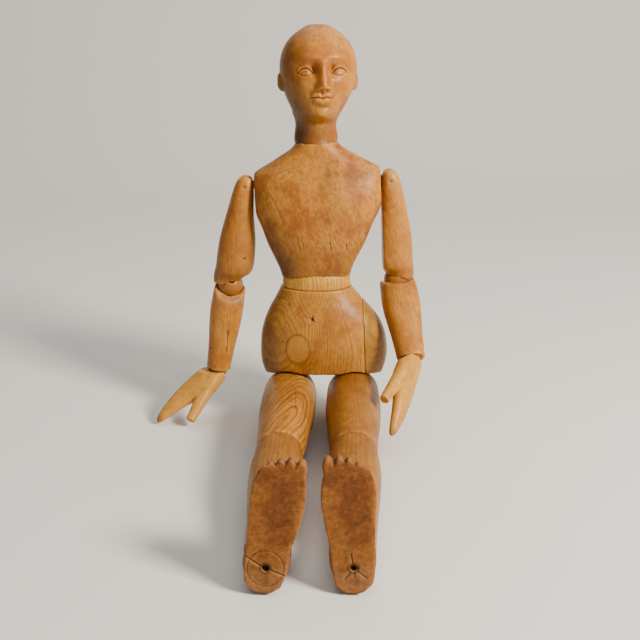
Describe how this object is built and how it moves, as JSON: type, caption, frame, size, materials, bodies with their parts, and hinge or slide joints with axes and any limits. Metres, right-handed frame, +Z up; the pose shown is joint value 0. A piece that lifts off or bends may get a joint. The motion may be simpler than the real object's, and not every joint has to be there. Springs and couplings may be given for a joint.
{
  "type": "artist mannequin",
  "caption": "Carved wooden lay figure of a person, seated with legs out, jointed at neck, waist, shoulders, elbows, wrists, hips, knees and ankles.",
  "frame": {"origin": "middle of the seated figure's footprint, on the surface that it sits on", "axes": "+X is the figure's left, -Y is the way it faces, +Z is up"},
  "size_m": [0.2452, 0.3622, 0.3565],
  "materials": {
    "hard_joints": "worn oil and wax",
    "dowels": "worn oil and wax",
    "side_slab": "worn oil and wax",
    "pale_waist": "worn oil and wax",
    "head_wood": "worn oil and wax",
    "trunk_wood": "worn oil and wax",
    "hand_wood": "worn oil and wax",
    "foot_wood": "worn oil and wax",
    "limb_wood": "worn oil and wax"
  },
  "bodies": {
    "pelvis": {"pelvis": "trunk_wood", "pelvis_side_block": "side_slab", "hip_tongue_right": "hard_joints", "hip_tongue_left": "hard_joints"},
    "waist_ball": {"waist_ball": "pale_waist", "waist_pin": "dowels"},
    "torso": {"torso": "trunk_wood", "waist_tongue": "hard_joints"},
    "neck": {"neck_tongue": "hard_joints"},
    "head": {"head": "head_wood", "neck_pin": "dowels"},
    "shoulder_right": {"shoulder_peg_right": "hard_joints"},
    "upper_arm_right": {"upper_arm_right": "limb_wood", "shoulder_pin_right": "dowels", "elbow_tongue_right": "hard_joints"},
    "forearm_right": {"forearm_right": "limb_wood", "elbow_ball_right": "hard_joints", "elbow_pin_right": "dowels"},
    "wrist_right": {"wrist_ball_right": "hard_joints", "wrist_pin_right": "dowels"},
    "hand_right": {"hand_right": "hand_wood", "wrist_tongue_right": "hard_joints"},
    "hip_right": {"hip_ball_right": "hard_joints", "hip_pin_right": "dowels"},
    "thigh_right": {"thigh_right": "limb_wood", "knee_tongue_right": "hard_joints"},
    "shin_right": {"shin_right": "limb_wood", "knee_ball_right": "hard_joints", "knee_pin_right": "dowels"},
    "ankle_right": {"ankle_ball_right": "hard_joints", "ankle_pin_right": "dowels"},
    "foot_right": {"foot_right": "foot_wood", "ankle_tongue_right": "hard_joints"},
    "shoulder_left": {"shoulder_peg_left": "hard_joints"},
    "upper_arm_left": {"upper_arm_left": "limb_wood", "shoulder_pin_left": "dowels", "elbow_tongue_left": "hard_joints"},
    "forearm_left": {"forearm_left": "limb_wood", "elbow_ball_left": "hard_joints", "elbow_pin_left": "dowels"},
    "wrist_left": {"wrist_ball_left": "hard_joints", "wrist_pin_left": "dowels"},
    "hand_left": {"hand_left": "hand_wood", "wrist_tongue_left": "hard_joints"},
    "hip_left": {"hip_ball_left": "hard_joints", "hip_pin_left": "dowels"},
    "thigh_left": {"thigh_left": "limb_wood", "knee_tongue_left": "hard_joints"},
    "shin_left": {"shin_left": "limb_wood", "knee_ball_left": "hard_joints", "knee_pin_left": "dowels"},
    "ankle_left": {"ankle_ball_left": "hard_joints", "ankle_pin_left": "dowels"},
    "foot_left": {"foot_left": "foot_wood", "ankle_tongue_left": "hard_joints"}
  },
  "joints": [
    {"name": "waist_turn", "type": "hinge", "parent": "pelvis", "child": "waist_ball", "pos_m": [0.02583, 0.12794, 0.13323], "axis": [0, 0, 1], "range_deg": [0, 20]},
    {"name": "waist_bend", "type": "hinge", "parent": "waist_ball", "child": "torso", "pos_m": [0.02583, 0.12794, 0.13323], "axis": [-0.999, -0.004, -0.0434], "range_deg": [0, 12]},
    {"name": "head_turn", "type": "hinge", "parent": "torso", "child": "neck", "pos_m": [0.02519, 0.14053, 0.26875], "axis": [-0.0436, 0.0924, 0.9948], "range_deg": [-55, 55]},
    {"name": "head_nod", "type": "hinge", "parent": "neck", "child": "head", "pos_m": [0.02519, 0.14053, 0.26875], "axis": [0.9906, 0.1335, 0.031], "range_deg": [-12, 12]},
    {"name": "shoulder_swing_right", "type": "hinge", "parent": "torso", "child": "shoulder_right", "pos_m": [-0.03784, 0.13602, 0.22016], "axis": [-0.999, -0.004, -0.0434], "range_deg": [-25, 150]},
    {"name": "shoulder_spread_right", "type": "hinge", "parent": "shoulder_right", "child": "upper_arm_right", "pos_m": [-0.03784, 0.13602, 0.22016], "axis": [-0.0073, 0.9972, 0.0743], "range_deg": [0, 80]},
    {"name": "elbow_bend_right", "type": "hinge", "parent": "upper_arm_right", "child": "forearm_right", "pos_m": [-0.05369, 0.14293, 0.12573], "axis": [-0.9854, -0.0547, 0.1614], "range_deg": [-7, 35]},
    {"name": "wrist_turn_right", "type": "hinge", "parent": "forearm_right", "child": "wrist_right", "pos_m": [-0.06666, 0.13801, 0.04491], "axis": [-0.1581, -0.06, -0.9856], "range_deg": [-30, 45]},
    {"name": "wrist_bend_right", "type": "hinge", "parent": "wrist_right", "child": "hand_right", "pos_m": [-0.06666, 0.13801, 0.04491], "axis": [-0.4959, 0.868, 0.0267], "range_deg": [-46, 10]},
    {"name": "hip_swing_right", "type": "hinge", "parent": "pelvis", "child": "hip_right", "pos_m": [0.00223, 0.12794, 0.02723], "axis": [0.9991, -0.043, 0.0006], "range_deg": [-1, 95]},
    {"name": "thigh_turn_right", "type": "hinge", "parent": "hip_right", "child": "thigh_right", "pos_m": [0.00223, 0.12794, 0.02723], "axis": [0.043, 0.999, -0.014], "range_deg": [-30, 4]},
    {"name": "knee_bend_right", "type": "hinge", "parent": "thigh_right", "child": "shin_right", "pos_m": [-0.00401, -0.01691, 0.02926], "axis": [0.9871, -0.0403, 0.1552], "range_deg": [-6, 64]},
    {"name": "ankle_turn_right", "type": "hinge", "parent": "shin_right", "child": "ankle_right", "pos_m": [-0.00768, -0.15725, 0.01614], "axis": [0.026, 0.9953, 0.0931], "range_deg": [-30, 4]},
    {"name": "ankle_bend_right", "type": "hinge", "parent": "ankle_right", "child": "foot_right", "pos_m": [-0.00768, -0.15725, 0.01614], "axis": [-0.995, 0.0168, 0.0986], "range_deg": [-30, 8]},
    {"name": "shoulder_swing_left", "type": "hinge", "parent": "torso", "child": "shoulder_left", "pos_m": [0.09124, 0.13654, 0.22577], "axis": [-0.999, -0.004, -0.0434], "range_deg": [0, 150]},
    {"name": "shoulder_spread_left", "type": "hinge", "parent": "shoulder_left", "child": "upper_arm_left", "pos_m": [0.09124, 0.13654, 0.22577], "axis": [0.0079, -0.996, -0.0887], "range_deg": [0, 80]},
    {"name": "elbow_bend_left", "type": "hinge", "parent": "upper_arm_left", "child": "forearm_left", "pos_m": [0.09968, 0.14508, 0.13052], "axis": [-0.9917, -0.0854, -0.0956], "range_deg": [-6, 3]},
    {"name": "wrist_turn_left", "type": "hinge", "parent": "forearm_left", "child": "wrist_left", "pos_m": [0.11019, 0.08791, 0.07269], "axis": [0.128, -0.6973, -0.7053], "range_deg": [-20, 4]},
    {"name": "wrist_bend_left", "type": "hinge", "parent": "wrist_left", "child": "hand_left", "pos_m": [0.11019, 0.08791, 0.07269], "axis": [0.004, 0.7115, -0.7027], "range_deg": [-23, 0]},
    {"name": "hip_swing_left", "type": "hinge", "parent": "pelvis", "child": "hip_left", "pos_m": [0.05963, 0.12794, 0.02723], "axis": [0.9998, -0.022, 0.0003], "range_deg": [-1, 95]},
    {"name": "thigh_turn_left", "type": "hinge", "parent": "hip_left", "child": "thigh_left", "pos_m": [0.05963, 0.12794, 0.02723], "axis": [-0.022, -0.9997, 0.014], "range_deg": [-30, 4]},
    {"name": "knee_bend_left", "type": "hinge", "parent": "thigh_left", "child": "shin_left", "pos_m": [0.05643, -0.01701, 0.02926], "axis": [-0.9923, 0.0235, 0.1217], "range_deg": [-64, 6]},
    {"name": "ankle_turn_left", "type": "hinge", "parent": "shin_left", "child": "ankle_left", "pos_m": [0.0515, -0.15731, 0.01614], "axis": [-0.035, -0.995, -0.0931], "range_deg": [-30, 4]},
    {"name": "ankle_bend_left", "type": "hinge", "parent": "ankle_left", "child": "foot_left", "pos_m": [0.0515, -0.15731, 0.01614], "axis": [-0.991, 0.0225, 0.1322], "range_deg": [-30, 8]}
  ]
}
